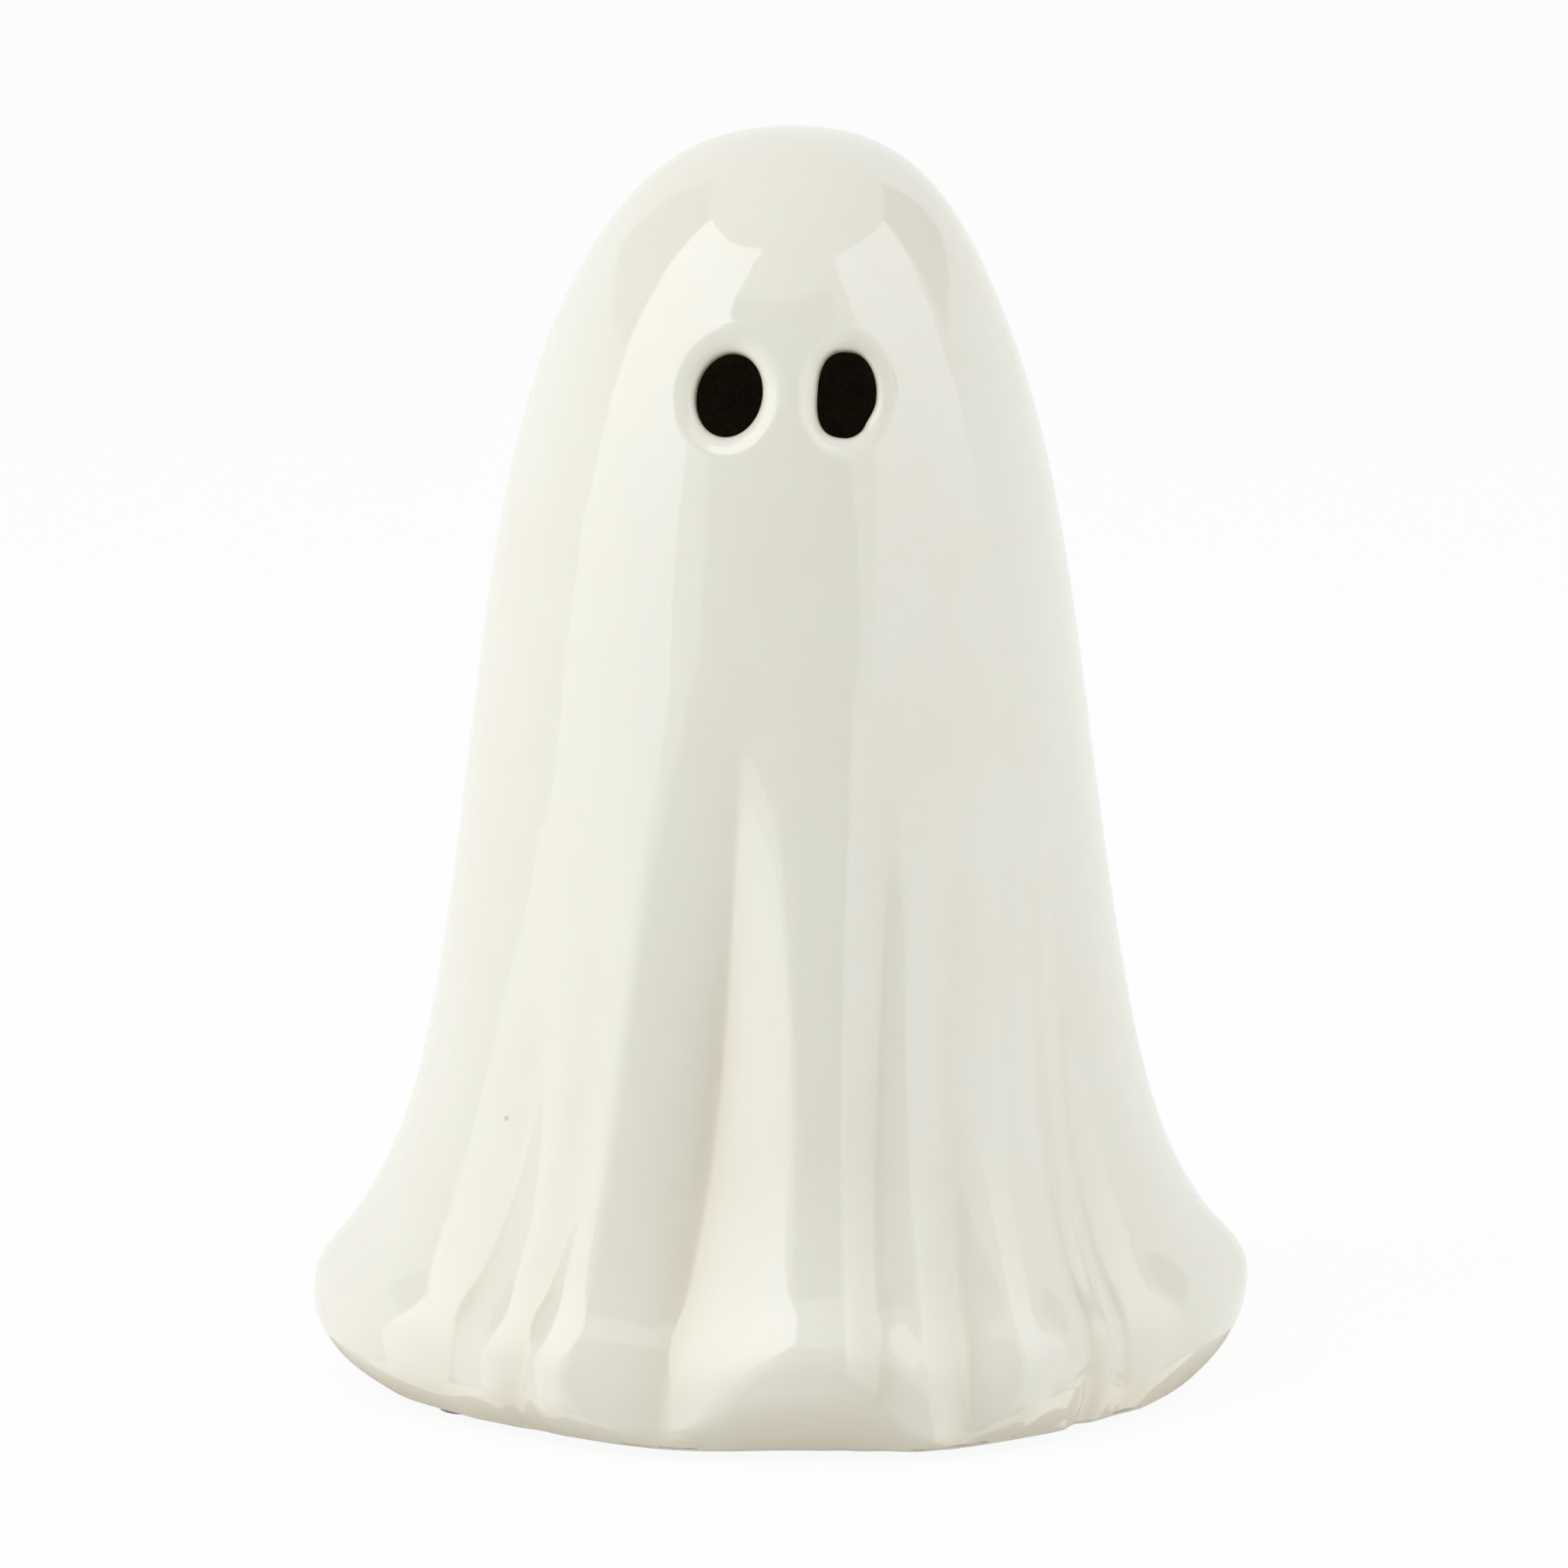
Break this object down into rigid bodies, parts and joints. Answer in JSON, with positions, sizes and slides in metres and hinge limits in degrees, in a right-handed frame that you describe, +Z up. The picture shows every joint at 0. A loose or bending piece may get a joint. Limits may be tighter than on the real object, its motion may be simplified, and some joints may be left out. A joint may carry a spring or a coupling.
{
  "type": "ceramic ghost figure",
  "caption": "Hollow glazed ceramic sheet-ghost figure with pierced eyes and a pull-out battery light unit in its base.",
  "frame": {"origin": "centre of the figure's outline on the surface it stands on, level with the undersides of its foot pads", "axes": "+Z up through the crown; -Y to the front, the side with the eyes; +X to the viewer's right"},
  "size_m": [0.1338, 0.1257, 0.1781],
  "materials": {
    "glaze_white": "glossy clear glaze over an ivory white body",
    "foam_pale": "closed-cell foam",
    "foam_grey": "closed-cell foam",
    "silicone": "translucent white silicone",
    "plastic_white": "fine spark texture",
    "plastic_black": "satin",
    "screw_steel": "zinc plated",
    "cell_jacket": "plain printed sleeve",
    "contact_plate": "nickel plated",
    "board_green": "solder mask",
    "epoxy_warm": "clear epoxy",
    "lens_frosted": "frosted",
    "wire_red": "satin sleeve",
    "wire_black": "satin sleeve"
  },
  "bodies": {
    "ghost": {"ghost_shell": "glaze_white", "foot_pads": "foam_pale", "base_collar": "silicone"},
    "light_unit": {"base_plate": "plastic_white", "tub_housing": "plastic_white", "housing_screws": "screw_steel", "battery_tray": "plastic_white", "battery_cell_front": "cell_jacket", "battery_cell_rear": "cell_jacket", "bridge_contact": "contact_plate", "bridge_spring": "contact_plate", "positive_contact": "contact_plate", "negative_contact": "contact_plate", "negative_spring": "contact_plate", "circuit_board": "board_green", "board_screws": "screw_steel", "timer_chip": "plastic_black", "drive_resistor": "plastic_black", "switch_case": "contact_plate", "lamp_board": "board_green", "led_lamp": "epoxy_warm", "lens_dome": "lens_frosted", "battery_lead_red": "wire_red", "battery_lead_black": "wire_black", "lamp_lead_red": "wire_red", "lamp_lead_black": "wire_black"},
    "battery_door": {"battery_door": "plastic_white", "door_foam": "foam_grey"},
    "door_screw": {"door_screw": "screw_steel"},
    "switch_slider": {"switch_slider": "plastic_black"}
  },
  "joints": [
    {"name": "light_unit_pull", "type": "slide", "parent": "ghost", "child": "light_unit", "axis": [0, 0, -1], "range_m": [0, 0.035]},
    {"name": "battery_door_swing", "type": "hinge", "parent": "light_unit", "child": "battery_door", "pos_m": [-0.0278, 0, 0.0026], "axis": [0, 1, 0], "range_deg": [0, 90]},
    {"name": "door_screw_turn", "type": "hinge", "parent": "battery_door", "child": "door_screw", "pos_m": [0.02855, 0, 0.0012], "axis": [0, 0, 1], "continuous": true},
    {"name": "switch_slide", "type": "slide", "parent": "light_unit", "child": "switch_slider", "axis": [1, 0, 0], "range_m": [0, 0.002]}
  ]
}
